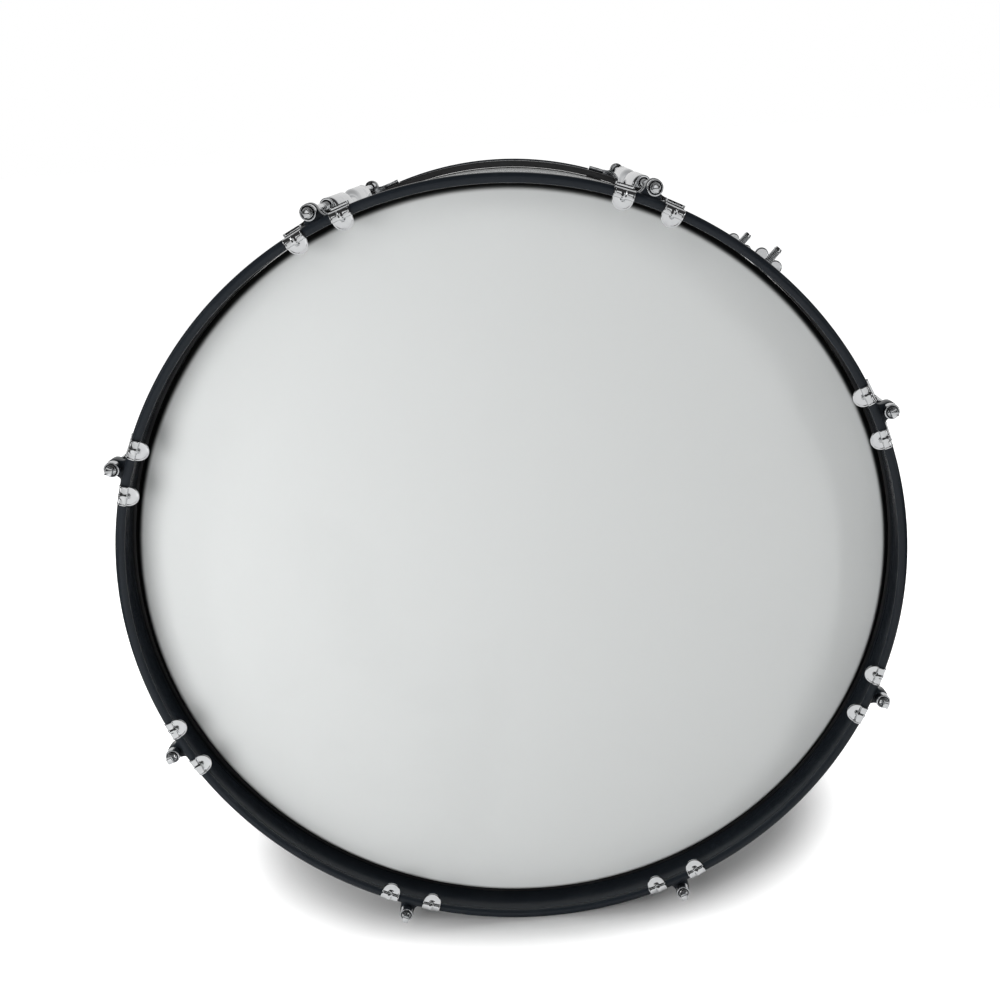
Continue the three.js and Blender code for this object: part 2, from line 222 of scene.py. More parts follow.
def plate(name, outlines, front, thickness, bevel):
    """A sheet across the axis: the first outline is its edge, and the others are holes in it."""
    curve = bpy.data.curves.new(name, "CURVE")
    curve.dimensions = "2D"
    curve.fill_mode = "BOTH"
    curve.extrude = thickness / 2 - bevel
    curve.bevel_depth = bevel
    curve.bevel_resolution = 2
    curve.offset = -bevel
    for outline in outlines:
        spline = curve.splines.new("POLY")
        spline.points.add(len(outline) - 1)
        for point, (x, height) in zip(spline.points, outline):
            point.co = (x, height, 0, 1)
        spline.use_cyclic_u = True
    return moved(evaluated(linked(name, curve)), Matrix.Translation((0, front + thickness / 2, 0)) @ upright)


def combined(mesh, *steps):
    """The mesh after Booleans. Each step is (operation, other mesh)."""
    others = [linked("other", other) for operation, other in steps]
    holder = linked("holder", mesh)
    for (operation, _), other in zip(steps, others):
        boolean = holder.modifiers.new(operation, "BOOLEAN")
        boolean.operation = operation
        boolean.object = other
    result = cleaned(evaluated(holder))
    for other in others:
        bpy.data.objects.remove(other)
    return result


def moved(mesh, matrix):
    mesh.transform(matrix)
    return mesh


def merged(name, *parts):
    """Joins (mesh, matrix) pairs into one mesh."""
    work = bmesh.new()
    for mesh, matrix in parts:
        work.from_mesh(moved(mesh.copy(), matrix))
    joined = bpy.data.meshes.new(name)
    work.to_mesh(joined)
    work.free()
    return joined

# %% [markdown]
# Every piece is placed in one way. It is drawn pointing straight up, with its depth counted from a hoop's
# face, and then turned to its station. The rear end is the front end turned half a turn about the upright.
# Each piece rides on the body that carries it, takes the place of its construction node, which is hidden, and
# is given its finish.

# %% Put a piece in its place
middle_depth = (front_face + rear_face) / 2
finishes = {}


def at_end(end, angle=0.0):
    if end == "front":
        return Matrix.Translation((0, front_face, axis_height)) @ Matrix.Rotation(angle, 4, "Y")
    behind = Matrix.Translation((0, rear_face, axis_height)) @ half_turn
    return behind @ Matrix.Rotation(-angle, 4, "Y")


def at_middle(angle=0.0):
    return Matrix.Translation((0, middle_depth, axis_height)) @ Matrix.Rotation(angle, 4, "Y")


def piece(name, mesh, finish, matrix, body, node):
    made = linked(name, mesh)
    if not mesh.materials:
        mesh.materials.append(finishes[finish])
    made.matrix_world = matrix
    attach(made, body)
    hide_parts(node)

# %% [markdown]
# ## Finishes
#
# Real surfaces are never even. Two effects are shared by every finish of this drum, so each is a node group
# that is built once. *Fine grain* is the tiny unevenness of paint, plating or film, and gives a height for a
# Bump node. *Handling marks* are the faint cloudy smears that hands and cloths leave, and give a mask that
# makes the gloss a little duller in places.

# %% Add nodes
def add_node(tree, kind, values, **settings):
    """Each value is a number, a colour or the output that feeds this input."""
    made = tree.nodes.new("ShaderNode" + kind)
    for setting, value in settings.items():
        setattr(made, setting, value)
    for label, value in values.items():
        if isinstance(value, bpy.types.NodeSocket):
            tree.links.new(value, made.inputs[label])
        else:
            made.inputs[label].default_value = value
    return made


def arithmetic(tree, operation, one, other):
    return add_node(tree, "Math", {0: one, 1: other}, operation=operation).outputs[0]


def step_over(tree, value, start, end, low=0.0, high=1.0):
    """A smooth step from low to high while the value goes from start to end."""
    values = {"Value": value, "From Min": start, "From Max": end, "To Min": low, "To Max": high}
    return add_node(tree, "MapRange", values, interpolation_type="SMOOTHSTEP").outputs["Result"]

# %% Node groups
def node_group(name, inputs, output):
    group = bpy.data.node_groups.new(name, "ShaderNodeTree")
    for label, value in inputs.items():
        socket = group.interface.new_socket(label, in_out="INPUT", socket_type="NodeSocketFloat")
        socket.default_value = value
    group.interface.new_socket(output, in_out="OUTPUT", socket_type="NodeSocketFloat")
    return group, group.nodes.new("NodeGroupInput"), group.nodes.new("NodeGroupOutput")


def fine_grain():
    inputs = {"Scale": 900.0, "Wave Scale": 12.0, "Wave": 0.3}
    group, given, result = node_group("fine_grain", inputs, "Height")
    place = add_node(group, "TexCoord", {}).outputs["Object"]
    grain = add_node(group, "TexNoise", {"Vector": place, "Scale": given.outputs["Scale"]})
    wave = add_node(group, "TexNoise", {"Vector": place, "Scale": given.outputs["Wave Scale"], "Detail": 1.0})
    louder = arithmetic(group, "MULTIPLY", wave.outputs["Fac"], given.outputs["Wave"])
    group.links.new(arithmetic(group, "ADD", grain.outputs["Fac"], louder), result.inputs["Height"])
    return group


def handling_marks():
    inputs = {"Scale": 9.0, "Cover": 0.5, "Softness": 0.2}
    group, given, result = node_group("handling_marks", inputs, "Mask")
    place = add_node(group, "TexCoord", {}).outputs["Object"]
    cloud = add_node(group, "TexNoise", {"Vector": place, "Scale": given.outputs["Scale"], "Detail": 5.0,
                                         "Distortion": 0.6})
    cover = given.outputs["Cover"]
    top = arithmetic(group, "ADD", cover, given.outputs["Softness"])
    group.links.new(step_over(group, cloud.outputs["Fac"], cover, top), result.inputs["Mask"])
    return group


grain_group = fine_grain()
marks_group = handling_marks()
print("node groups:", grain_group.name, marks_group.name)

# %% [markdown]
# One function wires the two groups into a Principled BSDF. Each material gives it a clean and a marked
# colour, the roughness without and with marks, the values of both groups, and the levels that are the same
# all over its surface.

# %% Start a finish
def tinted(tree, mask, clean, marked):
    """Mixes two colours by a mask."""
    values = {"Factor": mask, "A": clean, "B": marked}
    return add_node(tree, "Mix", values, data_type="RGBA").outputs["Result"]


def group_output(tree, group, values):
    """The output of a node group that is given these values, in the order of its inputs."""
    return add_node(tree, "Group", dict(enumerate(values)), node_tree=group).outputs[0]


def make_finish(name, clean, marked, gloss, grain, bump, marks, levels):
    material = bpy.data.materials.new(name)
    material.use_nodes = True
    tree = material.node_tree
    surface = tree.nodes["Principled BSDF"].inputs
    surface["Base Color"].default_value = (*clean, 1)
    for label, level in levels.items():
        surface[label].default_value = level
    height = group_output(tree, grain_group, grain)
    relief = add_node(tree, "Bump", {"Height": height, "Strength": bump[0], "Distance": bump[1]})
    mask = group_output(tree, marks_group, marks)
    rough = add_node(tree, "MapRange", {"Value": mask, "To Min": gloss[0], "To Max": gloss[1]})
    colour = tinted(tree, mask, (*clean, 1), (*marked, 1))
    tree.links.new(relief.outputs["Normal"], surface["Normal"])
    tree.links.new(rough.outputs["Result"], surface["Roughness"])
    tree.links.new(colour, surface["Base Color"])
    finishes[name] = material
    return tree, surface, colour

# %% [markdown]
# *Chrome* is a bright metal with almost no roughness. What makes it read as chrome is what it mirrors, so
# its own settings stay simple: a faint wave in the plating and a few smears. *Zinc* plating is softer and
# greyer.

# %% Chrome and zinc
metal = {"Metallic": 1.0}
make_finish("chrome", (0.64, 0.65, 0.66), (0.57, 0.58, 0.60), gloss=(0.06, 0.16), grain=(900, 40, 2.0),
            bump=(0.03, 0.0004), marks=(70, 0.52, 0.16), levels=metal)
make_finish("zinc_steel", (0.45, 0.45, 0.46), (0.38, 0.38, 0.36), gloss=(0.32, 0.5), grain=(1400, 40, 1.0),
            bump=(0.2, 0.0003), marks=(40, 0.45, 0.2), levels=metal)

# %% [markdown]
# The hoops are *black painted metal* with a satin gloss and a touch of blue. Black paint shows form mostly by
# its highlights, so its grain is kept fine and shallow. The flesh hoops below them are plainer and duller.

# %% Black paint
make_finish("black_hoop", (0.0170, 0.0210, 0.0265), (0.0200, 0.0240, 0.0295), gloss=(0.14, 0.22),
            grain=(1500, 8, 0.6), bump=(0.08, 0.0002), marks=(30, 0.5, 0.2),
            levels={"Specular IOR Level": 0.16})
make_finish("black_ring", (0.012, 0.012, 0.013), (0.02, 0.02, 0.021), gloss=(0.42, 0.55),
            grain=(1200, 10, 0.6), bump=(0.12, 0.0002), marks=(30, 0.5, 0.2), levels={})

# %% [markdown]
# The *head* is a white polyester film: almost even, with a soft gloss, and a few faint cloudy marks where
# mallets and hands touched it. Towards its rim, where it bends over the shell, its colour is darkened as
# painted shade and a painted reflection of the black hoop, and a mask measures the distance from the axis.
# The *shell* wears a glossy white covering with a clear coat.

# %% White film and white covering
def scaled_distance(tree, scale):
    """How far a point is from its object's origin, once each axis is scaled."""
    place = add_node(tree, "TexCoord", {}).outputs["Object"]
    across = add_node(tree, "VectorMath", {0: place, 1: scale}, operation="MULTIPLY")
    return add_node(tree, "VectorMath", {0: across.outputs["Vector"]}, operation="LENGTH").outputs["Value"]


# The head's dark rim is painted: painted shade and a painted reflection of the black hoop where the film
# rolls over the bearing edge.
painted_shade_rim_start = 0.3225
painted_shade_rim_end = 0.3280
painted_shade_rim_colour = (0.022, 0.022, 0.020, 1)
film, film_inputs, film_colour = make_finish(
    "head_film", (0.84, 0.86, 0.855), (0.825, 0.845, 0.84), gloss=(0.42, 0.50), grain=(700, 4, 2.0),
    bump=(0.05, 0.0003), marks=(5, 0.56, 0.14), levels={"Specular IOR Level": 0.3})
painted_shade_rim_mask = step_over(film, scaled_distance(film, (1, 0, 1)), painted_shade_rim_start, painted_shade_rim_end)
film.links.new(tinted(film, painted_shade_rim_mask, film_colour, painted_shade_rim_colour), film_inputs["Base Color"])
make_finish("white_wrap", (0.82, 0.83, 0.83), (0.80, 0.81, 0.81), gloss=(0.16, 0.24), grain=(500, 6, 3.0),
            bump=(0.04, 0.0004), marks=(8, 0.5, 0.2), levels={"Coat Weight": 0.4, "Coat Roughness": 0.05})
print("finishes:", ", ".join(finishes))

# %% [markdown]
# ## The shell
#
# The shell is a plywood tube with a white covering. Its two ends are bevelled to a narrow bearing edge at
# the inside, over which the heads are stretched. It is turned in one go. The holes for the carrier bolts, the
# lugs' screws and the air vent are cut with a Boolean modifier, because they have to be real: one looks
# through the vent into the drum.

# %% Sizes of the shell and its holes
shell_radius = 0.330
shell_wall = 0.006
shell_inside = shell_radius - shell_wall
bearing_edge = 0.0322
edge_roll = 0.0014
bevel_drop = 0.0070
small_round = 0.001
ring_steps = 256
carrier_angle = pi / 4
carrier_bolt_places = [sum(corner.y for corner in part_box(f"{end}_carrier_bolt")) / 2 for end in ends]
vent_angle = -pi / 2
vent_hole = 0.0066
bolt_radius = 0.0039
bolt_play = 0.0005
screw_radius = 0.0025
screw_play = 0.0004
lug_low, lug_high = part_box("lug_1")
lug_half_length = (lug_high.y - lug_low.y) / 2
socket_length = 0.008
block_length = 0.087
block_start = lug_half_length - socket_length - block_length
screw_place = block_start + block_length / 2
print("bolts at", [round(place, 4) for place in carrier_bolt_places], "and screws at", round(screw_place, 4))

# %% Turn the shell and drill it
def drill(radius, depth, angle):
    """A cutter through the shell, at a depth counted from the middle of the drum."""
    low = shell_inside - 0.01
    high = shell_radius + 0.01
    rod = turned("drill", [(0, low), (radius, low), (radius, high), (0, high)], steps=32, closed=False)
    turn = Matrix.Translation((0, overall_depth / 2 + depth, 0)) @ Matrix.Rotation(angle, 4, "Y")
    return rod, turn @ upright


def shell_mesh():
    near = bearing_edge
    far = overall_depth - bearing_edge
    peak = shell_inside + edge_roll
    outline = rounded([
        (shell_radius, near + bevel_drop, small_round),
        (shell_radius, far - bevel_drop, small_round),
        (peak, far, edge_roll),
        (shell_inside, far - edge_roll, small_round),
        (shell_inside, near + edge_roll, small_round),
        (peak, near, edge_roll),
    ], steps=6)
    cutters = [drill(vent_hole, 0, vent_angle)]
    cutters += [drill(bolt_radius + bolt_play, place, carrier_angle) for place in carrier_bolt_places]
    cutters += [drill(screw_radius + screw_play, side * screw_place, angle)
                for angle in station_angles for side in (-1, 1)]
    tube = turned("shell", outline, steps=ring_steps)
    return shaded(combined(tube, ("DIFFERENCE", merged("cutter", *cutters))))


piece("drum_shell", shell_mesh(), "white_wrap", at_end("front"), "drum_body", "shell")

# %% [markdown]
# ## The heads and flesh hoops
#
# A head is a disc of film that rolls over the bearing edge and runs down outside the shell as a collar, into
# the flesh hoop. The roll matters more than its size suggests: there the film stops being a flat white and
# starts to mirror the black hoop around it. The film's material also paints this roll dark, as painted shade
# and a painted reflection of the black hoop.

# %% Stretch the heads
film_thickness = 0.0004
film_gap = 0.0003
collar_end = 0.0449
collar_play = 0.0007
film_front = bearing_edge - film_gap - film_thickness
flesh_lip = 0.0009


def head_mesh():
    outer = shell_radius + collar_play
    inner = outer - film_thickness
    peak = shell_inside + edge_roll + 0.0002
    back = film_front + film_thickness
    slope_end = film_front + bevel_drop
    top = rounded([
        (0, film_front, 0),
        (peak, film_front, 0.0032),
        (outer, slope_end, 0.0020),
        (outer, collar_end, 0),
    ], closed=False, steps=10)
    under = rounded([
        (inner, collar_end, 0),
        (inner, slope_end, 0.0016),
        (peak, back, 0.0028),
        (0, back, 0),
    ], closed=False, steps=10)
    flat = [Vector((share * peak, film_front)) for share in (0.3, 0.6, 0.85, 0.97)]
    return shaded(turned("head", [top[0], *flat, *top[1:], *under], steps=ring_steps, closed=False), 40)


def flesh_hoop_mesh():
    low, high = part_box("front_flesh_hoop")
    outer = (high.z - low.z) / 2
    inner = shell_radius + 0.0011
    near = low.y - front_face
    far = high.y - front_face
    corners = [(outer, near), (outer, far), (inner, far), (inner, near)]
    outline = rounded([(*corner, flesh_lip) for corner in corners])
    return shaded(turned("flesh_hoop", outline, steps=ring_steps))


head = head_mesh()
flesh_hoop = flesh_hoop_mesh()
for end in ends:
    piece(f"{end}_drumhead", head, "head_film", at_end(end), "drum_body", f"{end}_head")
    piece(f"{end}_flesh_ring", flesh_hoop, "black_ring", at_end(end), "drum_body", f"{end}_flesh_hoop")
print("film lies", round(film_front * 1000, 1), "mm behind the hoop's face")

# %% [markdown]
# ## The counter hoops
#
# The hoop is a ring of one section: a rounded nose in front, a thin wall behind it that flares a little, and
# a flange round the outside. The flange is notched where each clip of a claw passes. Cutting thirty-two
# notches with Booleans would roughen the long smooth highlights, so the section itself changes with the
# angle: in a notch every point of the flange is drawn in to the wall. The ears that hold the rods are plates
# with softened edges, set into the flange.

# %% Sizes of the hoop and its stations
hoop_depth = 0.0385
hoop_steps = 480
nose_half_width = 0.00395
nose_height = 0.0032
nose_steps = 14
wall_outside = 0.3366
wall_inside = 0.3332
throat = (0.0022, 0.0065)
flare_end = 0.030
hoop_round = 0.0008
flange_back = 0.0072
flange_root = 0.0015
rod_radius = 0.345
ear_radius = 0.0066
ear_half_width = 0.0114
ear_front = 0.0032
ear_thickness = 0.010
rod_hole = 0.0036
clip_width = 0.0166
clip_spacing = 0.0407
clip_gap = 0.0005
nose_radius = flange_radius - nose_half_width
clip_angle = asin(clip_spacing / 2 / nose_radius)
notch_half_angle = (clip_width / 2 + clip_gap) / flange_radius
print("a notch takes", round(2 * notch_half_angle / pi * 180, 2), "degrees of the flange")

# %% Turn the hoop with its notches
clip_angles = [station + clip for station in station_angles for clip in (-clip_angle, clip_angle)]


def hoop_angles():
    """Even steps, with a close pair of angles at each side of a notch so that its edges are crisp."""
    edge = radians(0.03)
    clearance = radians(0.25)
    sides = [clip + side for clip in clip_angles for side in (-notch_half_angle, notch_half_angle)]
    clear = [a for a in round_angles(hoop_steps) if all(abs(a - side) > clearance for side in sides)]
    return sorted(clear + [side + shift for side in sides for shift in (-edge, edge)])


def hoop_radius(angle, radius):
    in_notch = any(abs(angle - clip) < notch_half_angle for clip in clip_angles)
    return min(radius, wall_outside) if in_notch else radius


def hoop_outline():
    nose = [Vector((nose_radius + nose_half_width * cos(t), nose_height * (1 - sin(t))))
            for t in arch_angles(nose_steps)]
    rest = rounded([
        (nose_radius - nose_half_width, nose_height, 0),
        (wall_inside - throat[0], throat[1], 0.004),
        (wall_inside, flare_end, 0.010),
        (wall_inside, hoop_depth, hoop_round),
        (wall_outside, hoop_depth, hoop_round),
        (wall_outside, flange_back + flange_root, flange_root),
        (flange_radius, flange_back, hoop_round),
        (flange_radius, nose_height, 0),
    ], closed=False)
    return nose + rest[1:-1]


def lobed_plate(name, half_width, base, top, lobe_radius, flank_steps, front, thickness, bevel):
    """A plate with the rod's hole in a round lobe, whose flanks sweep out to its foot."""
    lobe = [(-lobe_radius * cos(t), rod_radius + lobe_radius * sin(t)) for t in arch_angles(24)]

    def flank(side):
        start = Vector((side * half_width, top))
        knee = Vector((side * lobe_radius, top))
        return bend(start, knee, Vector((side * lobe_radius, rod_radius)), flank_steps)[:-1]

    edge = [(-half_width, base), *flank(-1), *lobe, *reversed(flank(1)), (half_width, base)]
    return plate(name, [edge, circle(rod_hole, 32, rod_radius)], front, thickness, bevel)


def hoop_mesh():
    ring = turned("ring", hoop_outline(), angles=hoop_angles(), reshape=hoop_radius)
    ear = lobed_plate("ear", ear_half_width, wall_outside - 0.001, flange_radius - 0.0006, ear_radius, 8,
                      ear_front, ear_thickness, 0.0007)
    ears = [(ear, Matrix.Rotation(angle, 4, "Y")) for angle in station_angles]
    return shaded(merged("hoop", (ring, in_place), *ears))


hoop = hoop_mesh()
for end in ends:
    piece(f"{end}_counter_hoop", hoop, "black_hoop", at_end(end), f"{end}_hoop_and_claws", f"{end}_hoop")
print("hoop faces:", len(hoop.polygons))

# %% [markdown]
# ## The claws
#
# A claw is one pressing of chromed steel. Two clips hook over the hoop's nose, each with a half-moon tongue
# that points into the drum, and behind the ear a bridge joins their feet and holds the rod. The sheet is
# drawn as a path that runs foot, leg, fold, crease, tongue. Each column of the mesh follows that path and
# stops where the half-moon does, so the round edge has clean faces.

# %% The clip's path
sheet = 0.0015
leg_outside = nose_radius + nose_half_width - 0.0002
crest_depth = -0.0021
foot_top = wall_outside + 0.0043
foot_front = ear_front + ear_thickness + 0.0003
crease_radius = nose_radius - nose_half_width
crease_depth = 0.0010
clip_half = clip_width / 2
moon_centre = crease_radius - 0.0004
tongue_tip = moon_centre - clip_half
tongue_depth = crease_depth + 0.0022


def clip_path():
    return rounded([
        (foot_top, foot_front, 0),
        (leg_outside, foot_front, 0.0012),
        (leg_outside, crest_depth, 0.0042),
        (crease_radius, crest_depth, 0.0033),
        (crease_radius, crease_depth, 0.0005),
        (tongue_tip, tongue_depth, 0),
    ], closed=False, steps=8)


def row_normals(path):
    """The outward side of the sheet at each point of the path, in (radius, depth)."""
    normals = []
    for i in range(len(path)):
        before = path[max(i - 1, 0)]
        after = path[min(i + 1, len(path) - 1)]
        along = (after - before).normalized()
        normals.append(Vector((-along.y, along.x)))
    return normals


print("the clip's path has", len(clip_path()), "points")

# %% [markdown]
# The press leaves two things on each clip, and both show as bright lines. A short stiffening rib runs over
# the fold and ends in a round nose on the tongue. The rim of the whole clip is rolled up by a quarter of a
# millimetre. Both are heights that are added along the surface's own direction.

# %% The rib and the rolled rim
rib_rise = 0.0009
rib_half_width = 0.0014
rib_length = 0.0105
rib_start_run = 0.0020
rib_end = 0.0026
rib_end_run = 0.0014
knob_reach = 0.0013
rim_rise = 0.00028
rim_inset = 0.0007
rim_width = 0.0005


def eased(share):
    share = min(max(share, 0), 1)
    return share * share * (3 - 2 * share)


def rib_height(along, across):
    """along is counted from the crease, and is negative on the fold."""
    profile = 1 / (1 + (across / rib_half_width) ** 4)
    window = eased((along + rib_length) / rib_start_run) * eased((rib_end - along) / rib_end_run)
    knob = 1 + exp(-(along / knob_reach) ** 2)
    return rib_rise * profile * window * knob


def rim_height(radius, across):
    if radius < moon_centre:
        edge = clip_half - sqrt(across ** 2 + (moon_centre - radius) ** 2)
    else:
        edge = clip_half - abs(across)
    return rim_rise * exp(-((edge - rim_inset) / rim_width) ** 2)


print("the rib is", round(rib_height(0, 0) * 1000, 2), "mm high at the crease")

# %% [markdown]
# A clip is a sheet with a front and a back. Its columns stand closer together towards the sides, where the
# half-moon is steep.

# %% Build one clip
clip_columns = 48
tongue_rows = 18
shortest_tongue = 1e-5


def clip_rows(path, across):
    """The path of one column: the bent part, then the tongue up to the half-moon."""
    root = path[-2]
    slope = path[-1] - root
    moon = moon_centre - sqrt(max(clip_half ** 2 - across ** 2, 0))
    reach = min(moon - root.x, -shortest_tongue) / slope.x
    steps = [(1 - cos((k + 1) / tongue_rows * pi)) / 2 for k in range(tongue_rows)]
    return path[:-1] + [root + slope * reach * step for step in steps]


def sheet_faces(columns, rows, side):
    """Faces of a sheet whose back points follow its front points after side places."""
    faces = []
    for column in range(columns):
        for row in range(rows - 1):
            a = column * rows + row
            b = a + rows
            faces += [(a, a + 1, b + 1, b), (side + a, side + b, side + b + 1, side + a + 1)]
        for a in (column * rows, (column + 1) * rows - 1):
            faces.append((a, a + rows, side + a + rows, side + a))
    for row in range(rows - 1):
        for a in (row, columns * rows + row):
            faces.append((a, side + a, side + a + 1, a + 1))
    return faces


def clip_mesh():
    path = clip_path()
    crease = Vector((crease_radius, crease_depth))
    outer, inner = [], []
    for column in range(clip_columns + 1):
        across = clip_half * sin((column / clip_columns - 0.5) * pi)
        rows = clip_rows(path, across)
        lengths = [0]
        for one, other in zip(rows, rows[1:]):
            lengths.append(lengths[-1] + (other - one).length)
        nearest = min(range(len(rows)), key=lambda k: (rows[k] - crease).length)
        for point, normal, length in zip(rows, row_normals(rows), lengths):
            raised = rib_height(length - lengths[nearest], across) + rim_height(point.x, across)
            face = point + normal * raised
            back = point - normal * sheet
            outer.append((across, face.y, face.x))
            inner.append((across, back.y, back.x))
    return mesh_from("clip", outer + inner, sheet_faces(clip_columns, len(rows), len(outer)), weld=False)

# %% Join two clips with the bridge
bridge_overlap = 0.0015
bridge_lobe = 0.0064
bridge_thickness = 0.0019


def claw_mesh():
    clip = clip_mesh()
    half = clip_spacing / 2 - clip_width / 2 + bridge_overlap
    bridge = lobed_plate("bridge", half, leg_outside - sheet, foot_top, bridge_lobe, 6,
                         foot_front, bridge_thickness, 0.0005)
    sides = [(clip, Matrix.Rotation(side * clip_angle, 4, "Y")) for side in (-1, 1)]
    return shaded(merged("claw", *sides, (bridge, in_place)), 40)


claw = claw_mesh()
for end in ends:
    for i, angle in enumerate(station_angles):
        piece(f"{end}_chrome_claw_{i + 1}", claw, "chrome", at_end(end, angle),
              f"{end}_hoop_and_claws", f"{end}_claw_{i + 1}")
print("claws:", 2 * station_count, "with", len(claw.polygons), "faces each")

# %% [markdown]
# ## The tension rods
#
# A rod has a square head for the drum key, a round collar, a captive cup washer and a shank that ends in a
# thread. The cup, the groove inside it and the collar are concentric rings, which is what makes the bright
# and dark circles in the photograph. The thread is drawn as turned ridges at its true pitch.

# %% Turn a rod with its washer
washer_back = 0.0029
washer_front = -0.0055
washer_radius = 0.0063
cup_depth = 0.0030
collar_radius = 0.0041
key_half = 0.0028
key_tip = -0.0140
shank_radius = 0.0030
thread_pitch = 0.001058
thread_start = 0.072
thread_depth = 0.0004
rod_end = 0.118


def ridges(crest, depth, start, end, pitch):
    """Corners of a thread, drawn as rings."""
    places = [start + k * pitch for k in range(int((end - start) / pitch))]
    return [corner for low in places for corner in ((crest - depth, low, 0), (crest, low + pitch / 2, 0))]


def washer_mesh():
    bore = shank_radius + 0.0003
    return turned("washer", rounded([
        (bore, washer_back, 0.0003),
        (bore, washer_front + cup_depth + 0.0004, 0.0003),
        (collar_radius + 0.0006, washer_front + cup_depth, 0.0004),
        (collar_radius + 0.0011, washer_front, 0.0005),
        (washer_radius, washer_front, 0.0007),
        (washer_radius, washer_back - 0.0022, 0.0006),
        (washer_radius - 0.0007, washer_back - 0.0014, 0.0004),
        (washer_radius - 0.0002, washer_back, 0.0004),
    ]), steps=64)


def stem_mesh():
    collar_front = washer_front - 0.0020
    return turned("stem", rounded([
        (0, collar_front, 0),
        (collar_radius - 0.0012, collar_front, 0.0004),
        (collar_radius, washer_front - 0.0006, 0.0008),
        (collar_radius, washer_front + 0.0026, 0.0003),
        (shank_radius, washer_front + 0.0028, 0),
        (shank_radius, thread_start - 0.001, 0.0004),
        *ridges(shank_radius, thread_depth, thread_start, rod_end, thread_pitch),
        (shank_radius - thread_depth, rod_end - 0.0004, 0),
        (0, rod_end, 0),
    ], closed=False, steps=3), steps=40, closed=False)


def key_mesh():
    """The square head, with its four long edges and its tip softened."""
    vertices = [(x * key_half, depth, z * key_half) for depth in (key_tip, washer_front) for x, z in square]
    faces = [(0, 1, 2, 3), (4, 5, 6, 7)] + [(k, (k + 1) % 4, 4 + (k + 1) % 4, 4 + k) for k in range(4)]
    holder = linked("key", mesh_from("key", vertices, faces))
    bevel = holder.modifiers.new("edges", "BEVEL")
    bevel.limit_method = "ANGLE"
    bevel.angle_limit = radians(50)
    bevel.width = 0.0007
    bevel.segments = 3
    return cleaned(evaluated(holder))


def rod_mesh():
    parts = [(mesh, in_place) for mesh in (washer_mesh(), stem_mesh(), key_mesh())]
    return shaded(moved(merged("rod", *parts), Matrix.Translation((0, 0, rod_radius))), 35)


rod = rod_mesh()
for end in ends:
    for i, angle in enumerate(station_angles):
        piece(f"{end}_key_rod_{i + 1}", rod, "chrome", at_end(end, angle),
              f"{end}_rod_{i + 1}", f"{end}_tension_rod_{i + 1}")
print("rods:", 2 * station_count, "with", len(rod.polygons), "faces each")

# %% [markdown]
# ## The lugs
#
# One long casting at each station takes the rods of both ends. It has two high blocks with an arched top, a
# slimmer bridge between them and a socket at each end. A casting has no sharp corner anywhere, so it is drawn
# as a loft: an arch-shaped section that changes smoothly along the drum's depth.

# %% Loft the casting
lug_base = shell_radius + 0.0001
arch_radius = 0.0083
arch_top = 0.3508
bridge_half_width = 0.0055
bridge_top = 0.3454
block_roll = 0.0028
shoulder = 0.012


def arch_section(half_width, top, depth, steps=12):
    """An upright arch at one depth: foot, side, round top, side, foot."""
    spring = top - half_width
    arch = [(-half_width * cos(t), depth, spring + half_width * sin(t)) for t in arch_angles(steps)]
    return [(-half_width, depth, lug_base), *arch, (half_width, depth, lug_base)]


def lug_sections():
    """(half width, top, depth) along the lug: the shoulder, the block's rolled end and the mirror of both."""
    half = []
    for share in [k / 12 for k in range(13)]:
        mix = eased(share)
        half.append((bridge_half_width + (arch_radius - bridge_half_width) * mix,
                     bridge_top + (arch_top - bridge_top) * mix,
                     block_start - shoulder / 3 + shoulder * share))
    for turn in [k / 6 * pi / 2 for k in range(6, -1, -1)]:
        inset = block_roll * (1 - sin(turn))
        depth = block_start + block_length - block_roll * (1 - cos(turn))
        half.append((arch_radius - inset, arch_top - inset, depth))
    return [(w, t, -y) for w, t, y in reversed(half)] + half


def casting_mesh():
    rings = [arch_section(*section) for section in lug_sections()]
    count = len(rings[0])
    faces = []
    for r in range(len(rings) - 1):
        for k in range(count):
            ahead = (k + 1) % count
            faces.append((r * count + k, r * count + ahead, (r + 1) * count + ahead, (r + 1) * count + k))
    faces.append(tuple(range(count)))
    faces.append(tuple(range((len(rings) - 1) * count, len(rings) * count)))
    return mesh_from("casting", [v for ring in rings for v in ring], faces)


print("the casting has", len(lug_sections()), "sections")

# %% [markdown]
# The sockets are turned and joined to the blocks, and the bores for the rods are cut right into them. Two
# screws with low domed heads hold the lug from inside the shell.

# %% Add sockets, cut the bores and put in the screws
socket_radius = 0.0053
socket_lip = 0.0059
bore_radius = rod_hole - 0.0001
bore_mouth = 0.0043
bore_length = 0.041
screw_head_radius = 0.0064
screw_head_height = 0.0022
screw_grip = 0.004


def socket_mesh():
    start = lug_half_length - socket_length - 0.002
    return turned("socket", rounded([
        (0, start, 0),
        (socket_radius, start, 0),
        (socket_radius, lug_half_length - 0.0030, 0.0004),
        (socket_lip, lug_half_length - 0.0024, 0.0004),
        (socket_lip, lug_half_length, 0.0007),
        (0, lug_half_length, 0),
    ], closed=False), steps=48, closed=False)


def bore_mesh():
    floor_depth = lug_half_length - bore_length
    beyond = lug_half_length + 0.004
    return turned("bore", [
        (0, floor_depth), (bore_radius, floor_depth), (bore_radius, lug_half_length - 0.0012),
        (bore_mouth, lug_half_length + 0.0001), (bore_mouth, beyond), (0, beyond),
    ], steps=40, closed=False)


def screw_mesh():
    """A screw that points up, with its head inside the shell."""
    head_top = shell_inside - 0.0006
    return moved(turned("screw", rounded([
        (0, head_top - screw_head_height, 0),
        (0.0030, head_top - screw_head_height, 0.0008),
        (screw_head_radius, head_top - 0.0009, 0.0010),
        (screw_head_radius, head_top, 0.0002),
        (screw_radius, head_top, 0),
        (screw_radius, lug_base + screw_grip, 0),
        (0, lug_base + screw_grip, 0),
    ], closed=False), steps=32, closed=False), upright)


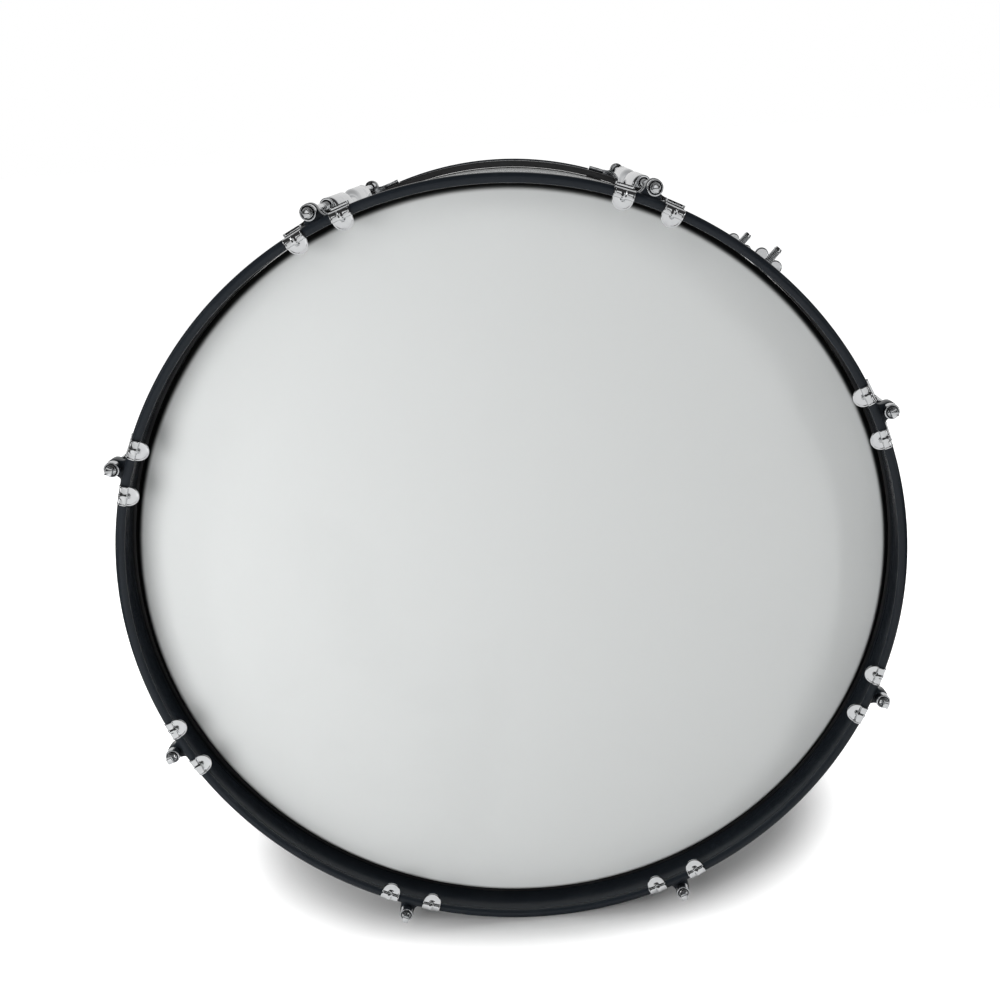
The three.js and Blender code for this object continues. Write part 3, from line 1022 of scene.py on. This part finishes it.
def lug_mesh():
    def at_both_ends(mesh):
        moved(mesh, Matrix.Translation((0, 0, rod_radius)))
        return merged("pair", (mesh, in_place), (mesh, half_turn))

    body = combined(casting_mesh(), ("UNION", at_both_ends(socket_mesh())),
                    ("DIFFERENCE", at_both_ends(bore_mesh())))
    screws = [(screw_mesh(), Matrix.Translation((0, side * screw_place, 0))) for side in (-1, 1)]
    return shaded(merged("lug", (body, in_place), *screws), 38)


lug = lug_mesh()
for i, angle in enumerate(station_angles):
    piece(f"chrome_lug_{i + 1}", lug, "chrome", at_middle(angle), "drum_body", f"lug_{i + 1}")
print("lugs:", station_count, "with", len(lug.polygons), "faces each")

# %% [markdown]
# ## The carrier bolts
#
# The harness of a marching player hooks on two bolts at the drum's upper right. Each has a dished washer on
# the shell and a wing nut with two solid round lobes. Inside the shell a zinc plated strip joins both bolts
# and spreads their load.

# %% The bolt and the strip
washer_base = shell_radius - 0.0001
bolt_top = shell_radius + 0.0286
bolt_thread_start = shell_radius + 0.004
bolt_pitch = 0.00141
bolt_thread_depth = 0.0006
bolt_head_radius = 0.0077
bolt_head_base = 0.3161
bolt_head_top = 0.3204
carrier_bore = bolt_radius + 0.0004
strip_top = 0.3233
strip_half_width = 0.015
strip_margin = 0.022
strip_corner = 0.006
strip_thickness = 0.0025


def six_sided(angle, radius):
    """Turns the round head of a bolt into a hexagon, and leaves the shank round."""
    if radius <= bolt_radius:
        return radius
    return radius / cos(angle % (pi / 3) - pi / 6)


def carrier_bolt_mesh():
    outline = rounded([
        (0, bolt_head_base, 0),
        (bolt_head_radius, bolt_head_base, 0.001),
        (bolt_head_radius, bolt_head_top, 0.0004),
        (bolt_radius, bolt_head_top, 0),
        (bolt_radius, bolt_thread_start - 0.001, 0),
        *ridges(bolt_radius, bolt_thread_depth, bolt_thread_start, bolt_top - 0.001, bolt_pitch),
        (bolt_radius - 0.0008, bolt_top, 0.0002),
        (0, bolt_top, 0),
    ], closed=False, steps=3)
    return shaded(moved(turned("bolt", outline, steps=48, closed=False, reshape=six_sided), upright), 35)


def backing_strip_mesh():
    """A flat steel strip with rounded corners and a hole for each bolt."""
    half_length = carrier_bolt_places[1] + strip_margin
    edge = rounded([(x * strip_half_width, y * half_length, strip_corner) for x, y in square])
    holes = [circle(carrier_bore, 32, place) for place in carrier_bolt_places]
    strip = plate("strip", [edge, *holes], -strip_top, strip_thickness, 0.0004)
    return shaded(moved(strip, Matrix.Rotation(-pi / 2, 4, "X")))


print("carrier bolts stand", round((bolt_top - shell_radius) * 1000, 1), "mm out of the shell")

# %% [markdown]
# The washer and the nut's hub are turned. Each lobe of the nut is a plate with heavily softened edges.

# %% Washer and wing nut
nut_base = shell_radius + 0.0023
dish_radius = 0.0143
dish_floor = washer_base + 0.0022
dish_rim = washer_base + 0.0031
hub_height = 0.0088
lobe_radius = 0.0063
lobe_centre = Vector((0.0084, nut_base + 0.0118))
wing_inside = 0.0050
wing_thickness = 0.0036


def carrier_washer_mesh():
    outline = rounded([
        (carrier_bore, washer_base, 0),
        (carrier_bore, dish_floor, 0.0003),
        (0.0079, dish_floor, 0.0004),
        (0.0083, dish_rim, 0.0003),
        (0.0122, dish_rim, 0.0014),
        (dish_radius, washer_base + 0.0006, 0.0008),
        (dish_radius, washer_base, 0),
    ])
    return shaded(moved(turned("carrier_washer", outline, steps=64), upright))


def wing_nut_mesh():
    hub = moved(turned("hub", rounded([
        (carrier_bore, nut_base, 0.0003),
        (carrier_bore, nut_base + hub_height, 0.0004),
        (0.0062, nut_base + hub_height, 0.0009),
        (0.0067, nut_base + 0.0040, 0.004),
        (0.0073, nut_base, 0.0005),
    ]), steps=48), upright)
    bow = [radians(-58 + k * 9.5) for k in range(25)]
    lobe = [(lobe_centre.x + lobe_radius * cos(t), lobe_centre.y + lobe_radius * sin(t)) for t in bow]
    edge = [(wing_inside, nut_base + 0.0012), (0.0078, nut_base + 0.0016), *lobe,
            (wing_inside, nut_base + 0.0078)]
    wing = plate("wing", [edge], -wing_thickness / 2, wing_thickness, 0.0011)
    return shaded(merged("wing_nut", (hub, in_place), (wing, in_place), (wing, half_turn)), 40)


bolt = carrier_bolt_mesh()
carrier_washer = carrier_washer_mesh()
wing_nut = wing_nut_mesh()
for end, place in zip(ends, carrier_bolt_places):
    spot = Matrix.Translation((0, place - middle_depth, 0)) @ at_middle(carrier_angle)
    piece(f"{end}_threaded_stud", bolt, "chrome", spot, "drum_body", f"{end}_carrier_bolt")
    piece(f"{end}_dished_washer", carrier_washer, "chrome", spot, "drum_body", f"{end}_carrier_washer")
    piece(f"{end}_chrome_wing_nut", wing_nut, "chrome", spot, f"{end}_wing_nut", f"{end}_wing_nut")
piece("inner_steel_strip", backing_strip_mesh(), "zinc_steel", at_middle(carrier_angle), "drum_body",
      "carrier_backing_plate")
print("wing nut faces:", len(wing_nut.polygons))

# %% [markdown]
# ## The air vent
#
# The vent is a small eyelet that lets air out when a head is struck: a turned tube with a rolled flange on
# the outside and a pressed one inside.

# %% Roll the eyelet
vent_bore = 0.0045
vent_tube = 0.0060
vent_flange = 0.0092
vent_inner_flange = 0.0088
inner_flange_top = shell_inside - 0.0010
inner_flange_base = shell_inside - 0.0018


def vent_mesh():
    outline = rounded([
        (vent_bore, shell_radius + 0.0014, 0.0010),
        (vent_flange, shell_radius + 0.0010, 0.0006),
        (vent_flange, washer_base, 0),
        (vent_tube, washer_base, 0),
        (vent_tube, shell_inside - 0.0006, 0),
        (vent_inner_flange, inner_flange_top, 0.0003),
        (vent_inner_flange, inner_flange_base, 0.0004),
        (vent_bore, inner_flange_base, 0.0004),
    ])
    return shaded(moved(turned("eyelet", outline, steps=48), upright))


piece("vent_eyelet", vent_mesh(), "chrome", at_middle(vent_angle), "drum_body", "air_vent")
print("the vent lets air through a bore of", round(2 * vent_bore * 1000, 1), "mm")

# %% [markdown]
# ## The floor and the light
#
# The drum stands on a white sweep. Under the drum the floor shows the soft shadow that the lamps make, and
# away from it the floor is lifted to white for the camera and for reflections, so it adds no light to the
# drum. The lift is a glow that rises from almost nothing under the drum to white beyond an oval round it, so
# the oval's soft grey edge is a painted shadow. Chrome mirrors a floor that is darker than the eye sees, and
# at both sides of the drum dark flags are painted on the floor, which only reflections show, as in a studio:
# chrome needs light and dark around it to look like chrome.

# %% Lay the floor
# Under the drum the glow stays near floor_lift and rises to white across shadow_reach: this oval is a painted
# shadow, laid over the lamps' own shade.
floor_lift = 0.02
shadow_reach = (0.205, 0.29)
shadow_scale = (0.80, 1.0, 0)
mirrored_share = 0.72
mirrored_tone = 0.65
pale_floor = (0.80, 0.80, 0.80, 1)
dark_floor = (0.05, 0.05, 0.05, 1)
flag_sides = (0.75, 1.05)
flag_back = (0.9, 0.2)
flag_front = (-2.0, -1.5)
far_floor = (-6.5, -8.0)
floor_reach = 60.0


# The flags are dark patches painted on the floor that only glossy rays see: painted reflections.
def flags_mask(tree):
    place = add_node(tree, "TexCoord", {}).outputs["Object"]
    split = add_node(tree, "SeparateXYZ", {0: place}).outputs
    side = step_over(tree, arithmetic(tree, "ABSOLUTE", split["X"], 0.0), *flag_sides)
    behind = step_over(tree, split["Y"], *flag_back)
    ahead = step_over(tree, split["Y"], *flag_front)
    beside = arithmetic(tree, "MULTIPLY", side, arithmetic(tree, "MULTIPLY", behind, ahead))
    return arithmetic(tree, "MAXIMUM", beside, step_over(tree, split["Y"], *far_floor))


def floor_material():
    material = bpy.data.materials.new("white_sweep")
    material.use_nodes = True
    tree = material.node_tree
    surface = tree.nodes["Principled BSDF"]
    surface.inputs["Roughness"].default_value = 0.9
    surface.inputs["Specular IOR Level"].default_value = 0.0
    paths = add_node(tree, "LightPath", {}).outputs
    glossy = paths["Is Glossy Ray"]
    flagged = arithmetic(tree, "MULTIPLY", flags_mask(tree), glossy)
    darker = arithmetic(tree, "MULTIPLY", glossy, mirrored_tone)
    tone = tinted(tree, arithmetic(tree, "MAXIMUM", flagged, darker), pale_floor, dark_floor)
    tree.links.new(tone, surface.inputs["Base Color"])
    direct = arithmetic(tree, "MAXIMUM", paths["Is Camera Ray"], paths["Is Transmission Ray"])
    seen = arithmetic(tree, "MAXIMUM", direct, arithmetic(tree, "MULTIPLY", glossy, mirrored_share))
    unflagged = arithmetic(tree, "SUBTRACT", 1.0, flagged)
    lift = step_over(tree, scaled_distance(tree, shadow_scale), *shadow_reach, floor_lift, 1.0)
    strength = arithmetic(tree, "MULTIPLY", lift, arithmetic(tree, "MULTIPLY", unflagged, seen))
    glow = add_node(tree, "Emission", {"Strength": strength})
    total = add_node(tree, "AddShader", {0: surface.outputs[0], 1: glow.outputs[0]})
    tree.links.new(total.outputs[0], tree.nodes["Material Output"].inputs["Surface"])
    return material


floor_mesh = mesh_from("floor", [(x * floor_reach, y * floor_reach, 0) for x, y in square], [(0, 1, 2, 3)])
floor_mesh.materials.append(floor_material())
linked("floor", floor_mesh)
print("floor lifted to white from", shadow_reach[1], "m outwards")

# %% [markdown]
# The room is white to the eye. What the glossy surfaces mirror is another room: bright behind the drum, dim
# above it and nearly black in front, with one small bright spot straight ahead. Each stop of the ramp is a
# place from the front of the room (0) to its back (1) and how bright the room is there. Everything else gets
# a low even light, and the lamps do the rest.

# %% Set the world
ambient_level = 0.12
room_stops = [(0.0, 1.0), (0.010, 1.0), (0.022, 0.05), (0.50, 0.04), (0.60, 0.36), (0.86, 0.74)]


def studio_world():
    world = bpy.data.worlds.new("studio")
    world.use_nodes = True
    tree = world.node_tree
    paths = add_node(tree, "LightPath", {}).outputs
    place = add_node(tree, "TexCoord", {}).outputs["Generated"]
    ahead = add_node(tree, "SeparateXYZ", {0: place}).outputs["Y"]
    share = add_node(tree, "MapRange", {"Value": ahead, "From Min": -1.0})
    room = add_node(tree, "ValToRGB", {"Fac": share.outputs["Result"]})
    stops = room.color_ramp.elements
    stops[0].position, stops[1].position = room_stops[0][0], room_stops[-1][0]
    for position, level in room_stops[1:-1]:
        stops.new(position)
    for stop, (position, level) in zip(stops, room_stops):
        stop.color = (level, level, level, 1)
    mirrored = add_node(tree, "Mix", {"Factor": paths["Is Glossy Ray"], "A": ambient_level,
                                      "B": room.outputs["Color"]})
    direct = arithmetic(tree, "MAXIMUM", paths["Is Camera Ray"], paths["Is Transmission Ray"])
    seen = add_node(tree, "Mix", {"Factor": direct, "A": mirrored.outputs["Result"], "B": 1.0})
    background = tree.nodes["Background"].inputs
    background["Color"].default_value = (1, 1, 1, 1)
    tree.links.new(seen.outputs["Result"], background["Strength"])
    return world


bpy.context.scene.world = studio_world()
bpy.context.scene.view_settings.view_transform = "Standard"
print("room brightness at its stops:", [level for place, level in room_stops])

# %% [markdown]
# In the photograph the front head is brightest low on its left and darkens evenly to the right. The lamps'
# places and powers were fitted to that fall of light. The four large ones only light the drum. The two thin
# strips are also mirrored, and draw the long highlights on the chrome and the black hoops.

# %% Hang the lamps
def softbox(name, place, aim, width, height, power, mirrored=False):
    """A flat lamp. One that isn't mirrored lights the drum, but chrome and paint don't show it."""
    data = bpy.data.lights.new(name, "AREA")
    data.shape = "RECTANGLE"
    data.size = width
    data.size_y = height
    data.energy = power
    lamp = linked(name, data)
    towards = Vector(aim) - Vector(place)
    lamp.matrix_world = Matrix.Translation(place) @ towards.to_track_quat("-Z", "Y").to_matrix().to_4x4()
    lamp.visible_glossy = mirrored


drum_centre = (0, 0, axis_height)
film_centre = (0, front_face + film_front, axis_height)
softbox("key", (-0.80, -1.25, 0.42), film_centre, 0.7, 0.9, 9.4)
softbox("upper_left", (-0.80, -1.9, 1.9), film_centre, 0.8, 0.8, 4.0)
softbox("right", (2.0, -1.25, 0.95), film_centre, 0.5, 0.8, 5.0)
softbox("strip_right", (1.9, -1.3, 0.8), drum_centre, 0.15, 1.6, 3, mirrored=True)
softbox("strip_left", (-1.9, -1.0, 0.8), drum_centre, 0.15, 1.6, 3, mirrored=True)
softbox("top", (0.1, 1.1, 2.1), drum_centre, 1.8, 1.0, 32)
print("lamps:", len(bpy.data.lights))
